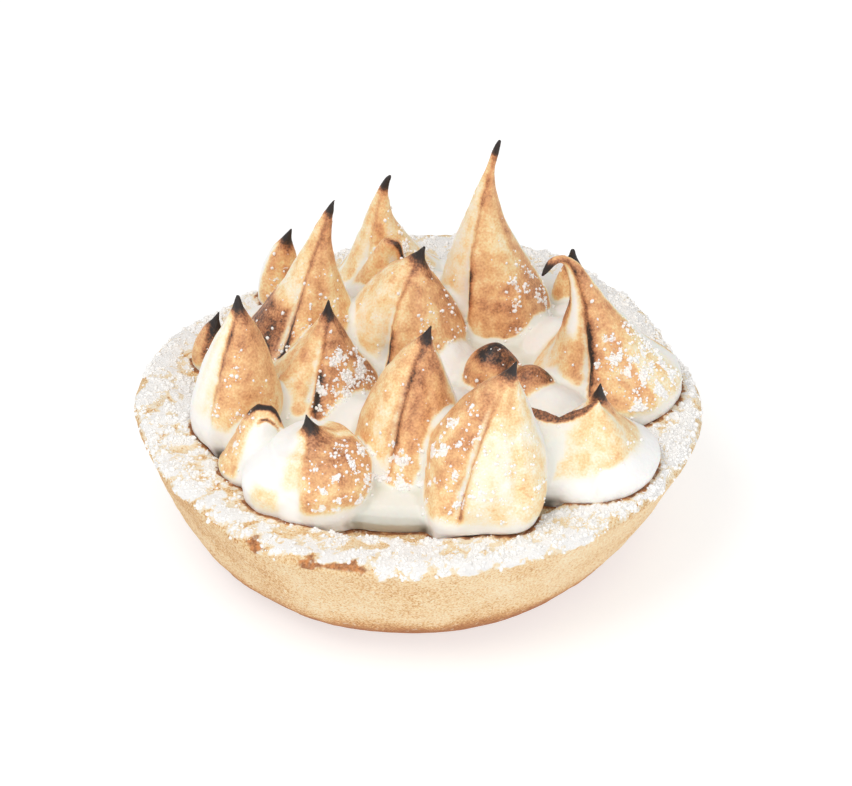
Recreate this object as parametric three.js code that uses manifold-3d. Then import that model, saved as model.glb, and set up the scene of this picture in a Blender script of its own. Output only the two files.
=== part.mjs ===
// Lemon meringue pie, one individual tart.  A hand-raised pastry case, filled to just under its rim,
// carries one mass of meringue that was spooned on and pulled up into peaks, then browned by a flame.
// Icing sugar lies on the rim, its largest lumps stuck to the pastry.
// Millimetres, +Z up.  The origin is in the middle of the base, and the front is towards -Y.
import * as THREE from 'three';
import { mergeVertices } from 'three/addons/utils/BufferGeometryUtils.js';
import Module from 'manifold-3d';

const wasm = await Module();
wasm.setup();

const { degToRad, euclideanModulo, lerp, smoothstep } = THREE.MathUtils;
const TURN = 2 * Math.PI;

// Pastry case
const RIM_RADIUS = 50; // outside of the rim, before it wanders
const RIM_HEIGHT = 26.2; // base to the top of the rim
const RIM_ROUND = 1.6; // how far the rim's outer edge is rounded over
const BASE_RADIUS = 32.5; // flat that the pie stands on
const WALL_SETTLES = 8; // how far below the base the wall would become truly round
const BASE_LEAN = 1.4; // how far to the left of the rim the base sits
const FILLING_INSET = 11; // rim's outside to the edge of the filling
const FILLING_DROP = 2.7; // top of the rim to the top of the filling
const CASE_SIDES = 48;
// How far the rim wanders out of round, every 20 degrees from +X towards the back
const RIM_WANDER = [0.1, -2.3, -1.4, 0.4, 0.8, -1, -4.6, -5.3, -1.2, 0.3, 0, 0, 1.7, 0.7, 0.2, 0, -0.5, 0];

// Icing sugar lumps on the rim
const SUGAR_LUMPS = 56;
const SUGAR_RADIUS = [0.75, 1.35];
const SUGAR_INSET = [1.3, 9];

// Meringue
const GAP = 0.3; // meringue to pastry
const BED_INSET = 13.4; // rim's outside to the foot of the meringue bed
const BED_SHOULDER = 4.6; // height of the bed's round shoulder above its foot
const BED_CROWN = 6; // and of its middle
const PEAK_FOOT = RIM_HEIGHT - 1.5; // height of the plane that the peaks are measured from
const TIP_RADIUS = 0.5;
const FOOT_FLARE = 0.36; // how much wider a spoonful's foot is than its girth, in the middle of the pie
const FOOT_TUCK = 0.12; // how much narrower it is near the pastry
const FLARE_ENDS = [20, 30]; // where the one turns into the other, from the middle
const FOLD_GENTLE = 0.6; // radians that a fold takes to rise again on its gentle side
const FOLD_STEEP = 0.09; // and on its steep side

// Each spoonful: its foot on the bed, its girth (a radius), where its neck and its tip are from the
// foot, how fast it thins, and its folds, each an angle (from +X towards the back) and a depth.
// A third number in its place lifts its foot above the others.  A tent thins by that power all the way
// up instead, an oval is stretched along an angle, and a square foot is drawn out at four corners.
const PEAKS = [
  // front row, from the left
  { at: [-18, -28.3], girth: 9.6, oval: [1.06, 0], square: 0.05, neck: [-0.4, 0, 12.5], tip: [-1.8, 0.3, 18.6], thin: 0.9,
    folds: [[-110, 0.2], [80, 0.16]] },
  { at: [-24.2, -28.3], girth: 7.2, neck: [0.4, 0, 8], tip: [0.8, 0, 11.6], thin: 0.9, levels: 6 },
  { at: [-28.9, -20.4], girth: 6.4, neck: [0.6, 0.2, 20], tip: [5.8, -0.4, 6.4], tent: 1.5, folds: [[-52, 0.16]] },
  { at: [-2.2, -20.6], girth: 9.9, neck: [1.2, 2.6, 23], tip: [4.2, 2.6, 30.4], thin: 1.4,
    folds: [[-114, 0.2], [-60, 0.09], [95, 0.2]] },
  { at: [10.6, -30], girth: 11.4, oval: [1.04, 30], square: 0.1, neck: [2, 0, 21], tip: [6.1, 0, 31.4], thin: 1.4,
    folds: [[-116, 0.34], [-60, 0.1], [70, 0.2]] },
  { at: [30.6, -20.5], girth: 11, oval: [1.1, 30], neck: [-0.2, 0, 12], tip: [0.9, 0, 19.6], tent: 1.4,
    folds: [[-92, 0.2], [110, 0.16]] },
  // left side
  { at: [-32.5, -8.3], girth: 8.3, neck: [0.9, 0, 19], tip: [0.7, 0, 29.6], thin: 1.3, folds: [[-130, 0.2], [60, 0.2]] },
  { at: [-37, 10.5], girth: 3.4, neck: [-0.5, 0, 8], tip: [1.4, 0, 12.4], thin: 1.6, folds: [[-100, 0.15]] },
  { at: [-17.8, -1.8], girth: 10.8, oval: [1.16, 38], neck: [1.2, 3.8, 14], tip: [1.7, 4.2, 20.9], tent: 1.35,
    folds: [[-102, 0.3], [-160, 0.12]] },
  { at: [-20.3, 12.8], girth: 11.9, oval: [1.08, 60], neck: [1.6, 2, 25], tip: [5.2, 2, 33.7], tent: 1.75,
    folds: [[-120, 0.28], [-66, 0.1], [75, 0.2]] },
  { at: [-25, 29.5], girth: 4.1, neck: [-0.4, 0, 11], tip: [2, 0, 16.8], thin: 1.5, folds: [[-75, 0.16]] },
  // back row
  { at: [-4.8, 32.2], girth: 10.2, neck: [-4, 0.4, 20.5], tip: [-0.5, 0.4, 26.2], tent: 1.6,
    folds: [[-126, 0.26], [-80, 0.14], [70, 0.2]] },
  { at: [-8.2, 25.6], girth: 6.4, neck: [2.4, 0, 24.8], tip: [5.6, -0.8, 10.6], tent: 1.5, folds: [[-100, 0.15]] },
  { at: [12, 32.2], girth: 6, neck: [0, 0, 7], tip: [0, 0, 11], thin: 1.5, folds: [[85, 0.15]] },
  { at: [27.8, 27], girth: 3.9, neck: [-0.5, 0, 8], tip: [-0.5, 0, 13.9], thin: 1.6 },
  // middle and right
  { at: [-2.8, 11.2], girth: 10.8, neck: [0.3, 2.4, 18], tip: [3.6, 2.4, 24.3], thin: 1.5,
    folds: [[-112, 0.3], [-80, 0.12], [95, 0.16]] },
  { at: [14.4, 21], girth: 10, neck: [-5, 0.9, 27.4], tip: [-0.3, 0.9, 41.5], thin: 3,
    folds: [[-124, 0.28], [-86, 0.12], [60, 0.2]] },
  { at: [12.9, -0.5, 4], girth: 4.9, neck: [0, 0, 6], tip: [0.8, 0, 9], thin: 0.8 },
  { at: [19.4, -4.6, 4], girth: 4.3, neck: [0, 0, 5], tip: [0.2, 0, 7.2], thin: 0.8 },
  { at: [33.6, 2.6], girth: 12.6, oval: [1.1, -10], neck: [-6.4, 0.9, 38], tip: [-12.1, -0.9, 26.6], tent: 2.1,
    folds: [[-108, 0.32], [-58, 0.1], [50, 0.2]] },
  // a saddle between two spoonfuls of the front row, drawn out sideways into a ridge that sags
  { at: [23.7, -23.3], girth: 6.5, ridge: 7, sag: 4.4, neck: [0, 0, 10], tip: [0, 0, 13.6], thin: 1.7 },
];

// Low swells of the meringue between the spoonfuls: place, girth and height
const SWELLS = [
  [-28, 20.5, 4.5, 8],
  [-26, -5, 5.5, 8.5],
  [-30, 4, 5, 8.5],
  [-10, -11.5, 7.5, 11],
  [6.5, -8, 5.5, 11],
  [4.5, 5.5, 6.5, 12],
  [23, -9, 7, 12],
  [24.5, 12, 7, 11.5],
  [-11, 21.5, 6, 11.5],
  [3.5, 25, 6.5, 12],
  [28, 19, 6, 9.5],
  [-18.5, 26, 5.5, 9.5],
  [4.5, 32.5, 6, 8.5],
  [20.5, 30.5, 5.7, 7.5],
];

// A smooth closed curve through values spaced evenly round a circle
function around(values, angle) {
  const place = euclideanModulo(angle / TURN, 1) * values.length;
  const step = Math.floor(place);
  const t = place - step;
  const [a, b, c, d] = [-1, 0, 1, 2].map((k) => values[euclideanModulo(step + k, values.length)]);
  return b + 0.5 * t * (c - a + t * (2 * a - 5 * b + 4 * c - d + t * (3 * (b - c) + d - a)));
}

// Reach of the rim's outside from the middle
const rimReach = (angle) => RIM_RADIUS + around(RIM_WANDER, angle);

// Repeatable random numbers from 0 to 1
function draws(seed) {
  let state = seed;
  return () => {
    state = (state + 0x6d2b79f5) | 0;
    let mixed = Math.imul(state ^ (state >>> 15), 1 | state);
    mixed = (mixed + Math.imul(mixed ^ (mixed >>> 7), 61 | mixed)) ^ mixed;
    return ((mixed ^ (mixed >>> 14)) >>> 0) / 2 ** 32;
  };
}

// three.js mesh to manifold solid and back
function solid(geometry) {
  const bare = geometry.index ? geometry.clone() : geometry;
  bare.deleteAttribute('normal');
  bare.deleteAttribute('uv');
  const merged = mergeVertices(bare, 1e-4);
  const vertProperties = new Float32Array(merged.attributes.position.array);
  const triVerts = new Uint32Array(merged.index.array);
  return new wasm.Manifold(new wasm.Mesh({ numProp: 3, vertProperties, triVerts }));
}

function geometryOf(manifold) {
  const { vertProperties, triVerts } = manifold.getMesh();
  const geometry = new THREE.BufferGeometry();
  geometry.setAttribute('position', new THREE.BufferAttribute(vertProperties, 3));
  geometry.setIndex(new THREE.BufferAttribute(triVerts, 1));
  geometry.computeVertexNormals();
  return geometry;
}

// A body turned on a lathe, then pushed out of round as the rim is.  A profile point is a radius and a
// height.  A radius below zero is measured inwards from the rim's outside and wanders as much as it
// does; on the wall the wandering dies away towards the base, and nearer the middle there is none.
function turned(profile) {
  const share = ([r, z]) => {
    if (r < 0) return 1;
    return r < BASE_RADIUS ? 0 : smoothstep(z, -WALL_SETTLES, RIM_HEIGHT);
  };
  const points = profile.map(([r, z]) => new THREE.Vector2(r < 0 ? RIM_RADIUS + r : r, z));
  const geometry = new THREE.LatheGeometry(points, CASE_SIDES).rotateX(Math.PI / 2);
  const position = geometry.attributes.position;
  for (let i = 0; i < position.count; i += 1) {
    const [x, y, z] = [position.getX(i), position.getY(i), position.getZ(i)];
    const wander = share(profile[i % profile.length]) * (rimReach(Math.atan2(y, x)) - RIM_RADIUS);
    const grown = 1 + wander / Math.max(Math.hypot(x, y), 1);
    const lean = BASE_LEAN * Math.max(0, 1 - (z / RIM_HEIGHT) ** 2);
    position.setXYZ(i, x * grown - lean, y * grown, z);
  }
  return solid(geometry);
}

// Wall: radius and height from the base's edge to just below the rim
const WALL = [
  [BASE_RADIUS, 0], [35.6, 0.9], [38.8, 3.6], [42, 8], [44.6, 12.8], [47, 18], [49.1, 22.8],
];

function pastryCase(clearance) {
  const top = RIM_HEIGHT + clearance;
  const floor = RIM_HEIGHT - FILLING_DROP + clearance;
  return turned([
    [0, 0],
    ...WALL,
    [-0.1, top - RIM_ROUND],
    [-0.6, top - 0.45 * RIM_ROUND],
    [-RIM_ROUND, top - 0.1],
    [-4, top],
    [-7, top - 0.3],
    [-FILLING_INSET + 0.9 - clearance, top - 0.9],
    [-FILLING_INSET - clearance, floor + 0.5],
    [-FILLING_INSET - 0.5 - clearance, floor],
    [0, floor],
  ]);
}

function meringueBed() {
  const foot = RIM_HEIGHT - FILLING_DROP;
  return turned([
    [0, foot],
    [-BED_INSET - 0.8, foot],
    [-BED_INSET, foot + 0.5 * BED_SHOULDER],
    [-BED_INSET - 0.6, foot + 0.8 * BED_SHOULDER],
    [-BED_INSET - 2.5, foot + BED_SHOULDER],
    [-BED_INSET - 8, foot + 0.6 * BED_CROWN + 0.4 * BED_SHOULDER],
    [20, foot + 0.95 * BED_CROWN],
    [0, foot + BED_CROWN],
  ]);
}

// How much of its girth a spoonful keeps at a place along its spine, from 0 at the foot to 1 at the tip:
// a foot that flares out or is tucked in, a round shoulder, then a hollow flank that draws out to the point
function girthLeft(along, shoulder, thin, tent, flare) {
  if (along < shoulder) {
    return 1 + flare * (1 - along / shoulder) ** 2;
  }
  const up = (along - shoulder) / (1 - shoulder);
  return tent ? (1 - up) ** tent : lerp((1 - up) ** thin * (1 + thin * up), 1 - up, 0.3);
}

// How deep the folds cut at an angle: each falls away gently on one side and steeply on the other
function foldCut(folds, angle) {
  return folds.reduce((cut, [where, depth]) => {
    const off = euclideanModulo(angle - degToRad(where) + Math.PI, TURN) - Math.PI;
    return cut + depth * Math.exp(off > 0 ? -off / FOLD_STEEP : off / FOLD_GENTLE);
  }, 0);
}

// Angles of a ring: evenly spaced, with one on each fold and one on its steep lip
function ringAngles(sides, folds) {
  const step = TURN / sides;
  const kept = folds.flatMap(([where]) => [degToRad(where), degToRad(where) + 2.4 * FOLD_STEEP]);
  const gapTo = (a, b) => Math.abs(euclideanModulo(a - b + Math.PI, TURN) - Math.PI);
  const even = Array.from({ length: sides }, (_, i) => i * step);
  const spare = even.filter((a) => kept.every((k) => gapTo(a, k) > 0.4 * step));
  return [...spare, ...kept].map((a) => euclideanModulo(a, TURN)).sort((a, b) => a - b);
}

function peak({ at, girth, oval = [1, 0], square = 0, neck, tip, thin, tent, folds = [], ridge = 0, sag = 0,
  levels = 10, sides = girth < 5 ? 10 : 14 }) {
  const foot = new THREE.Vector3(at[0], at[1], PEAK_FOOT + (at[2] ?? 0));
  const from = (offset, share = [1, 1, 1]) => foot.clone().add(new THREE.Vector3(...offset.map((v, i) => v * share[i])));
  const spine = new THREE.CubicBezierCurve3(foot, from(neck, [0.5, 0.5, 0.45]), from(neck), from(tip));
  const shoulder = Math.min(((tent ? 0.4 : 0.7) * girth) / spine.getLength(), 0.45);
  const angles = ringAngles(sides, folds);
  const flare = lerp(FOOT_FLARE, -FOOT_TUCK, smoothstep(Math.hypot(at[0], at[1]), ...FLARE_ENDS));
  const sideways = new THREE.Vector3(1, 0, 0);
  const [stretch, towards] = [oval[0], degToRad(oval[1])];

  const vertices = [];
  const push = (v) => vertices.push(v.x, v.y, v.z);
  push(foot.clone().setZ(PEAK_FOOT - 4));
  for (let level = -1; level <= levels; level += 1) {
    const along = Math.max(level, 0) / levels;
    const middle = spine.getPointAt(along);
    const up = new THREE.Vector3(0, 0, 1).lerp(spine.getTangentAt(along), Math.min(along / 0.35, 1)).normalize();
    if (level < 0) {
      middle.z = PEAK_FOOT - 4;
    }
    sideways.addScaledVector(up, -sideways.dot(up)).normalize();
    const deep = new THREE.Vector3().crossVectors(up, sideways);
    const radius = girth * girthLeft(along, shoulder, thin, tent, flare) + TIP_RADIUS * along;
    const fading = smoothstep(along, 0.02, 0.3) * (1 - smoothstep(along, 0.8, 1));
    const wide = lerp(stretch, 1, along);
    const corners = square * (1 - smoothstep(along, 0.1, 0.5));
    for (const angle of angles) {
      const ovalness = 1 / Math.hypot(Math.cos(angle - towards) / wide, Math.sin(angle - towards));
      const reach = radius * ovalness * (1 - fading * foldCut(folds, angle)) * (1 - corners * Math.cos(4 * angle));
      const right = reach * Math.cos(angle) + ridge * smoothstep(along, 0, 0.5) * Math.tanh(4 * Math.cos(angle));
      const point = middle.clone().addScaledVector(sideways, right).addScaledVector(deep, reach * Math.sin(angle));
      point.z += sag * smoothstep(along, 0, 1) * (right / (ridge + radius)) ** 2;
      push(point);
    }
  }
  push(spine.getPointAt(1).addScaledVector(spine.getTangentAt(1), 0.6 * TIP_RADIUS));

  const count = angles.length;
  const last = vertices.length / 3 - 1;
  const faces = [];
  for (let side = 0; side < count; side += 1) {
    const next = (side + 1) % count;
    faces.push(0, 1 + next, 1 + side);
    for (let ring = 0; ring <= levels; ring += 1) {
      const [low, high] = [1 + ring * count, 1 + (ring + 1) * count];
      faces.push(low + side, low + next, high + next, low + side, high + next, high + side);
    }
    faces.push(last, last - count + side, last - count + next);
  }
  const geometry = new THREE.BufferGeometry();
  geometry.setAttribute('position', new THREE.BufferAttribute(new Float32Array(vertices), 3));
  geometry.setIndex(faces);
  return solid(geometry);
}

const swell = ([x, y, girth, height]) =>
  peak({ at: [x, y], girth, neck: [0, 0, 0.65 * height - 2], tip: [0, 0, height - 2.5], thin: 0.9, levels: 4, sides: 9 });

const joined = (parts) => parts.reduce((whole, part) => whole.add(part));
const largest = (manifold) => manifold.decompose().reduce((a, b) => (b.volume() > a.volume() ? b : a));

// One crumbly lump of icing sugar, a little squashed
function sugarLump(middle, radius, draw) {
  const geometry = new THREE.SphereGeometry(radius, 5, 4);
  geometry.rotateX(draw() * TURN).rotateZ(draw() * TURN);
  geometry.scale(1 + 0.3 * draw(), 1, 0.65 + 0.2 * draw());
  geometry.translate(middle.x, middle.y, middle.z);
  return solid(geometry);
}

// The largest lumps, spread over the rim by a seeded draw, where the meringue leaves it bare
function sugarOn(meringue) {
  const draw = draws(7);
  const lumps = [];
  const places = [];
  while (lumps.length < SUGAR_LUMPS) {
    const angle = TURN * draw();
    const inset = lerp(SUGAR_INSET[0], SUGAR_INSET[1], draw());
    const radius = lerp(SUGAR_RADIUS[0], SUGAR_RADIUS[1], draw() ** 2);
    const reach = rimReach(angle) - inset;
    const middle = new THREE.Vector3(reach * Math.cos(angle), reach * Math.sin(angle), RIM_HEIGHT - 0.1);
    middle.z -= 0.35 * Math.max(0, 2.5 - inset) + 0.06 * Math.max(0, inset - 6) ** 2;
    const apart = places.every((place) => place.middle.distanceTo(middle) > place.radius + radius + 0.5);
    if (apart && solid(new THREE.SphereGeometry(radius * 1.7, 6, 4).translate(...middle)).intersect(meringue).isEmpty()) {
      lumps.push(sugarLump(middle, radius, draw));
      places.push({ middle, radius });
    }
  }
  return lumps;
}

const meringue = largest(joined([meringueBed(), ...PEAKS.map(peak), ...SWELLS.map(swell)]).subtract(pastryCase(GAP)));
const crust = largest(joined([pastryCase(0), ...sugarOn(meringue)]));

const finishes = {
  crust: new THREE.MeshStandardMaterial({ color: 0xe6bd82, roughness: 0.85, metalness: 0 }),
  meringue: new THREE.MeshStandardMaterial({ color: 0xf3dcb8, roughness: 0.55, metalness: 0 }),
};

const pie = new THREE.Group();
for (const [name, shape] of Object.entries({ crust, meringue })) {
  const mesh = new THREE.Mesh(geometryOf(shape), finishes[name]);
  mesh.name = name;
  pie.add(mesh);
}

export default pie;
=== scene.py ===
# %% [markdown]
# # A lemon meringue pie
#
# This lesson dresses one small pie: a thick pastry case with icing sugar on its rim, and meringue that
# was spooned on, pulled up into peaks and browned with a flame.  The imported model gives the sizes, and
# every piece here is made to them, in metres, with +Z up and the front of the pie towards -Y.

# %% The frame and the tools
import math
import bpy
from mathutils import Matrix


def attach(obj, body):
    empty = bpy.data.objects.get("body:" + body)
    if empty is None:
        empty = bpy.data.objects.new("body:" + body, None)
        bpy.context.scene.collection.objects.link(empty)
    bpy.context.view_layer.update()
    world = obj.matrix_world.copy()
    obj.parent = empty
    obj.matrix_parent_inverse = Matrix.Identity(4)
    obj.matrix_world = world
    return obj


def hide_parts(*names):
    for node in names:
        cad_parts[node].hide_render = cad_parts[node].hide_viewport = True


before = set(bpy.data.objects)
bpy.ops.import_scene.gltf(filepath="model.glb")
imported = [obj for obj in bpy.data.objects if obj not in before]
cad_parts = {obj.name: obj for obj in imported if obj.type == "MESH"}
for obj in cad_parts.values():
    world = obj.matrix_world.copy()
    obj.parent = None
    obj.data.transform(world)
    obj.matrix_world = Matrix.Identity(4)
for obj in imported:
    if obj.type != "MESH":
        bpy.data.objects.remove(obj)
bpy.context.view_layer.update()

from types import SimpleNamespace

import bmesh
import bpy
import numpy as np
from mathutils import Matrix, Vector, noise
from mathutils.bvhtree import BVHTree

MM = 0.001
TURN = 2 * math.pi


# %% [markdown]
# ## Camera
#
# The pie is seen from a little above, so that the rim is an ellipse and the peaks stand out against
# each other.  A long lens from far away keeps the ellipse almost free of perspective.  The camera aims
# at the middle of the rim, and a small offset puts the pie where it belongs in the picture.

# %% Camera
PICTURE_WIDE = 852
PICTURE_SCALE = 0.1773 * MM  # one pixel on the pie
RIM_PIXEL = (420, 396)
MIDDLE_PIXEL = (426, 393)
LOOK_DOWN = math.radians(36.87)
CAMERA_AWAY = 1.6  # metres
RIM_TOP = 26.2 * MM

screen_up = Vector((0, math.sin(LOOK_DOWN), math.cos(LOOK_DOWN)))
look = Vector((0, math.cos(LOOK_DOWN), -math.sin(LOOK_DOWN)))
aim = Vector((0, 0, RIM_TOP))
aim += Vector((1, 0, 0)) * (MIDDLE_PIXEL[0] - RIM_PIXEL[0]) * PICTURE_SCALE
aim += screen_up * (RIM_PIXEL[1] - MIDDLE_PIXEL[1]) * PICTURE_SCALE
bpy.ops.object.camera_add(location=aim - look * CAMERA_AWAY, rotation=(math.pi / 2 - LOOK_DOWN, 0, 0))
camera = bpy.context.object
camera.name = "camera"
camera.data.lens = camera.data.sensor_width * CAMERA_AWAY / (PICTURE_WIDE * PICTURE_SCALE)
camera.data.clip_start = 0.1
bpy.context.scene.camera = camera
print("lens:", round(camera.data.lens), "mm")


# %% [markdown]
# ## Light and floor
#
# White meringue needs light from all round, or its valleys go grey.  A white world does most of the
# work, one large soft lamp from the upper left gives the form, and a weak one from the front opens the
# shadows.  The floor is a plain white sheet that glows a little, so that it is as white as the room.

# %% Light and floor
KEY_FROM = Vector((-0.28, -0.26, 0.74))
FILL_FROM = Vector((0.3, -0.75, 0.34))
ROOM_LIGHT = 0.58
SHEET_GREY = 0.5
SHEET_GLOW = 0.62


def soft_lamp(name, place, size, watts, colour):
    toward = Vector((0, 0, RIM_TOP)) - place
    facing = toward.to_track_quat("-Z", "Y").to_euler()
    bpy.ops.object.light_add(type="AREA", location=place, rotation=facing)
    lamp = bpy.context.object
    lamp.name = name
    lamp.data.size = size
    lamp.data.energy = watts
    lamp.data.color = colour


soft_lamp("key_lamp", KEY_FROM, size=0.4, watts=2.7, colour=(1, 0.99, 0.97))
soft_lamp("fill_lamp", FILL_FROM, size=0.7, watts=1.7, colour=(1, 0.99, 0.98))
world = bpy.data.worlds.new("white_room")
world.use_nodes = True
world.node_tree.nodes["Background"].inputs["Color"].default_value = (1, 1, 1, 1)
world.node_tree.nodes["Background"].inputs["Strength"].default_value = ROOM_LIGHT
bpy.context.scene.world = world
bpy.context.scene.view_settings.view_transform = "Standard"

bpy.ops.mesh.primitive_plane_add(size=6)
floor = bpy.context.object
floor.name = floor.data.name = "floor"
floor.data.materials.append(bpy.data.materials.new("white_sheet"))
floor.data.materials[0].use_nodes = True
sheet = floor.data.materials[0].node_tree.nodes["Principled BSDF"]
sheet.inputs["Base Color"].default_value = (SHEET_GREY, SHEET_GREY, SHEET_GREY, 1)
sheet.inputs["Roughness"].default_value = 0.9
sheet.inputs["Emission Color"].default_value = (1, 1, 1, 1)
sheet.inputs["Emission Strength"].default_value = SHEET_GLOW


# %% [markdown]
# ## Helpers for modelling
#
# An operator acts on whatever is selected, so each piece starts from a clean selection.  A modifier is
# added with its settings and applied at once, which leaves a plain mesh.

# %% Selecting, and applying modifiers
def select_none():
    bpy.ops.object.select_all(action="DESELECT")


def select_only(*pieces):
    select_none()
    for piece in pieces:
        piece.select_set(True)
    bpy.context.view_layer.objects.active = pieces[0]


def finish_with(piece, kind, **settings):
    modifier = piece.modifiers.new(kind, kind)
    for setting, value in settings.items():
        setattr(modifier, setting, value)
    select_only(piece)
    bpy.ops.object.modifier_apply(modifier=modifier.name)


def triangles_of(piece):
    return sum(len(face.vertices) - 2 for face in piece.data.polygons)


def counted(piece):
    print(piece.name, "triangles:", triangles_of(piece))


# %% [markdown]
# Shapes and finishes both need to know things about each point, such as how baked it is.  These numbers
# could be painted on by hand, but here they follow from where a point is.  They are read and written for
# a whole mesh at once, because a loop over a hundred thousand points would be slow.

# %% Numbers on the points of a mesh
GROUP_LEVELS = 20  # steps of weight that a vertex group is filled in


def places_of(piece):
    places = np.empty(len(piece.data.vertices) * 3)
    piece.data.vertices.foreach_get("co", places)
    return places.reshape(-1, 3)


def move_to(piece, places):
    piece.data.vertices.foreach_set("co", np.asarray(places).ravel())
    piece.data.update()


def normals_of(piece):
    normals = np.empty(len(piece.data.vertices) * 3)
    piece.data.vertex_normals.foreach_get("vector", normals)
    return normals.reshape(-1, 3)


def keep_on_points(piece, name, values):
    attribute = piece.data.attributes.get(name) or piece.data.attributes.new(name, "FLOAT", "POINT")
    attribute.data.foreach_set("value", np.asarray(values, dtype=np.float32))


def read_points(piece, name):
    values = np.empty(len(piece.data.vertices), dtype=np.float32)
    piece.data.attributes[name].data.foreach_get("value", values)
    return values


def as_group(piece, name, weights):
    group = piece.vertex_groups.new(name=name)
    levels = np.round(np.clip(weights, 0, 1) * GROUP_LEVELS)
    for level in range(1, GROUP_LEVELS + 1):
        group.add(np.flatnonzero(levels == level).tolist(), level / GROUP_LEVELS, "REPLACE")


def ease(values, off, on):
    """0 at off and beyond it, 1 at on and beyond it, and smooth between; on may be the lower of the two."""
    share = np.clip((np.asarray(values, dtype=float) - off) / (on - off), 0, 1)
    return share * share * (3 - 2 * share)


def smooth_between(a, b, c, d, share):
    """A smooth curve from b to c, as part of one that also goes through a and d."""
    return b + 0.5 * share * (c - a + share * (2 * a - 5 * b + 4 * c - d + share * (3 * (b - c) + d - a)))


# %% [markdown]
# Lumpy things are displaced by a texture: a cloud texture of the right size in metres, pushed along the
# normals by a strength in metres.  The same kind of cloud, worked out at single places, makes edges
# ragged.

# %% Lumps and clouds
def lumps(piece, size, strength, group=""):
    texture = bpy.data.textures.new("lumps", "CLOUDS")
    texture.noise_scale = size
    finish_with(piece, "DISPLACE", texture=texture, texture_coords="LOCAL", mid_level=0.5,
                strength=strength, vertex_group=group)


def cloud(places, size, seed=0.0):
    """Noise from about -1 to 1 at each place, in three layers."""
    shift = Vector((seed, seed, seed))
    return np.array([noise.fractal(Vector(place) / size + shift, 1, 2, 3) for place in places])


# %% [markdown]
# ## Shader maths
#
# A finish is easier to read as a sum than as a web of nodes.  `Wire` wraps the output of a node, and
# each operator on it adds the Math node that does the sum.  `Finish.node` makes any other node.

# %% Wires
class Wire:
    """The output of a node, to be used in sums."""

    def __init__(self, finish, socket):
        self.finish = finish
        self.socket = socket

    def maths(self, operation, first, second, clamp=False):
        settings = {"operation": operation, "use_clamp": clamp}
        return self.finish.node("ShaderNodeMath", settings, {0: first, 1: second})

    def __add__(self, other):
        return self.maths("ADD", self, other)

    def __sub__(self, other):
        return self.maths("SUBTRACT", self, other)

    def __rsub__(self, other):
        return self.maths("SUBTRACT", other, self)

    def __mul__(self, other):
        return self.maths("MULTIPLY", self, other)

    __radd__ = __add__
    __rmul__ = __mul__

    def clamped(self):
        """Kept between 0 and 1."""
        return self.maths("ADD", self, 0, clamp=True)

    def step(self, low, high):
        """0 below low, 1 above high, and smooth between."""
        inputs = {"Value": self, "From Min": low, "From Max": high}
        return self.finish.node("ShaderNodeMapRange", {"interpolation_type": "SMOOTHSTEP"}, inputs)


# %% Finishes
class Finish:
    """A material, and the nodes that make it."""

    def __init__(self, name, **uniform):
        self.material = bpy.data.materials.new(name)
        self.material.use_nodes = True
        self.tree = self.material.node_tree
        self.surface = self.tree.nodes["Principled BSDF"]
        for socket, value in uniform.items():
            self.surface.inputs[socket.replace("_", " ")].default_value = value

    def node(self, kind, settings=None, inputs=None, output=0):
        made = self.tree.nodes.new(kind)
        for setting, value in (settings or {}).items():
            if setting == "stops":
                self.set_stops(made.color_ramp, value)
            else:
                setattr(made, setting, value)
        for socket, value in (inputs or {}).items():
            if isinstance(value, Wire):
                self.tree.links.new(value.socket, made.inputs[socket])
            else:
                made.inputs[socket].default_value = value
        return Wire(self, made.outputs[output])

    @staticmethod
    def set_stops(ramp, stops):
        while len(ramp.elements) < len(stops):
            ramp.elements.new(0.5)
        for element, (place, colour) in zip(ramp.elements, stops):
            element.position = place
            element.color = colour

    def points(self, name):
        """A number that is kept on the points of the mesh."""
        return self.node("ShaderNodeAttribute", {"attribute_name": name}, output="Fac")

    def place(self):
        return self.node("ShaderNodeTexCoord", output="Object")

    def grain(self, size, detail=2, rough=0.5):
        """Noise from 0 to 1 whose blotches are about size across."""
        inputs = {"Vector": self.place(), "Scale": 1 / size, "Detail": detail, "Roughness": rough}
        return self.node("ShaderNodeTexNoise", inputs=inputs)

    def uneven(self, size, amount, detail=2, rough=0.5):
        """The same noise around 0, as much as half of amount either way."""
        return (self.grain(size, detail, rough) - 0.5) * amount

    def ramp(self, share, stops):
        return self.node("ShaderNodeValToRGB", {"stops": stops}, {"Fac": share})

    def blend(self, share, first, second):
        """The first colour where share is 0, and the second where it is 1."""
        # A Mix node has sockets for numbers and vectors too: its colours are inputs 6 and 7 and output 2.
        return self.node("ShaderNodeMix", {"data_type": "RGBA"}, {0: share, 6: first, 7: second}, output=2)

    def bump(self, height, deep):
        inputs = {"Height": height, "Distance": deep, "Strength": 1}
        self.feed("Normal", self.node("ShaderNodeBump", inputs=inputs))

    def feed(self, socket, wire):
        self.tree.links.new(wire.socket, self.surface.inputs[socket])


def linear(level):
    """One channel of a colour as it looks on a screen, from 0 to 255, as the shader wants it."""
    share = level / 255
    return share / 12.92 if share < 0.04 else ((share + 0.055) / 1.055) ** 2.4


def srgb(red, green, blue):
    return (linear(red), linear(green), linear(blue), 1)


# %% [markdown]
# ## Pastry case
#
# The case is a thick-walled bowl whose rim wanders, as one raised by hand does.  It could be sculpted,
# but a bowl is quicker thrown as on a wheel: a circle is extruded and resized ring by ring, up the wall,
# over the rim and down to the filling.  Then the rings are pushed out of round.

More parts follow.
